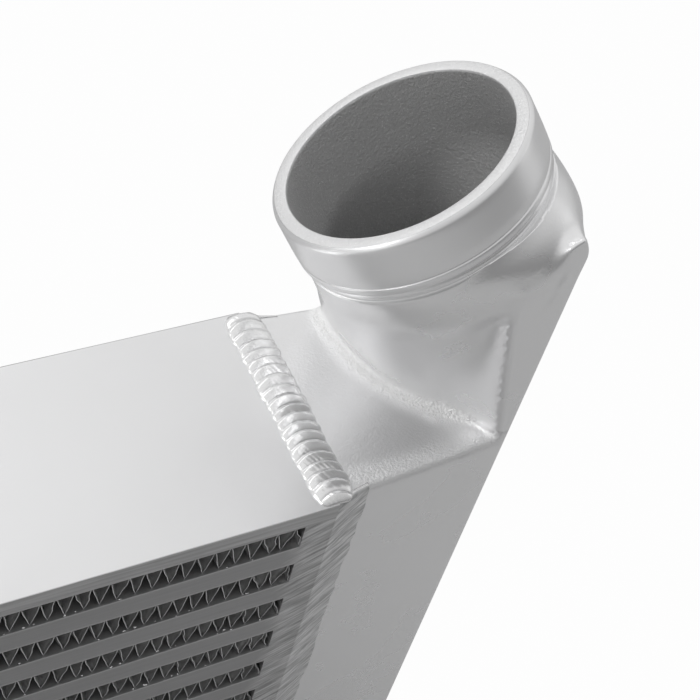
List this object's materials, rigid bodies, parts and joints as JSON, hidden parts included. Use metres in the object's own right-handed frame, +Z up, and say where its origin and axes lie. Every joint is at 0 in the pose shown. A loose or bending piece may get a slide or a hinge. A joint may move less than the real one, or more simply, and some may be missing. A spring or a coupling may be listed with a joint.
{
  "type": "intercooler",
  "caption": "Bar and plate air to air intercooler with cast end tanks and upright round hose necks, brazed core with folded air fins.",
  "frame": {"origin": "centre of the core's bottom face, on the plane the part stands on", "axes": "+X along the core towards the right tank, +Y through the core towards its back, +Z up"},
  "size_m": [0.6408, 0.074, 0.2798],
  "materials": {
    "cast_tank": "cast and fettled, satin",
    "core_plate": "mill finish, satin",
    "core_bar": "brazed, faintly brushed lengthwise",
    "air_fin": "thin folded sheet, brazed",
    "turbulator": "thin folded sheet, brazed",
    "weld": "bright rippled bead, ground at the corners"
  },
  "bodies": {
    "root": {"bottom_side_plate": "core_plate", "top_side_plate": "core_plate", "air_fin_01": "air_fin", "end_bar_left_01": "core_bar", "end_bar_right_01": "core_bar", "air_fin_02": "air_fin", "end_bar_left_02": "core_bar", "end_bar_right_02": "core_bar", "air_fin_03": "air_fin", "end_bar_left_03": "core_bar", "end_bar_right_03": "core_bar", "air_fin_04": "air_fin", "end_bar_left_04": "core_bar", "end_bar_right_04": "core_bar", "air_fin_05": "air_fin", "end_bar_left_05": "core_bar", "end_bar_right_05": "core_bar", "air_fin_06": "air_fin", "end_bar_left_06": "core_bar", "end_bar_right_06": "core_bar", "air_fin_07": "air_fin", "end_bar_left_07": "core_bar", "end_bar_right_07": "core_bar", "air_fin_08": "air_fin", "end_bar_left_08": "core_bar", "end_bar_right_08": "core_bar", "air_fin_09": "air_fin", "end_bar_left_09": "core_bar", "end_bar_right_09": "core_bar", "air_fin_10": "air_fin", "end_bar_left_10": "core_bar", "end_bar_right_10": "core_bar", "air_fin_11": "air_fin", "end_bar_left_11": "core_bar", "end_bar_right_11": "core_bar", "charge_tube_01": "core_bar", "turbulator_01": "turbulator", "charge_tube_02": "core_bar", "turbulator_02": "turbulator", "charge_tube_03": "core_bar", "turbulator_03": "turbulator", "charge_tube_04": "core_bar", "turbulator_04": "turbulator", "charge_tube_05": "core_bar", "turbulator_05": "turbulator", "charge_tube_06": "core_bar", "turbulator_06": "turbulator", "charge_tube_07": "core_bar", "turbulator_07": "turbulator", "charge_tube_08": "core_bar", "turbulator_08": "turbulator", "charge_tube_09": "core_bar", "turbulator_09": "turbulator", "charge_tube_10": "core_bar", "turbulator_10": "turbulator", "end_tank_left": "cast_tank", "weld_left": "weld", "end_tank_right": "cast_tank", "weld_right": "weld"}
  },
  "joints": []
}
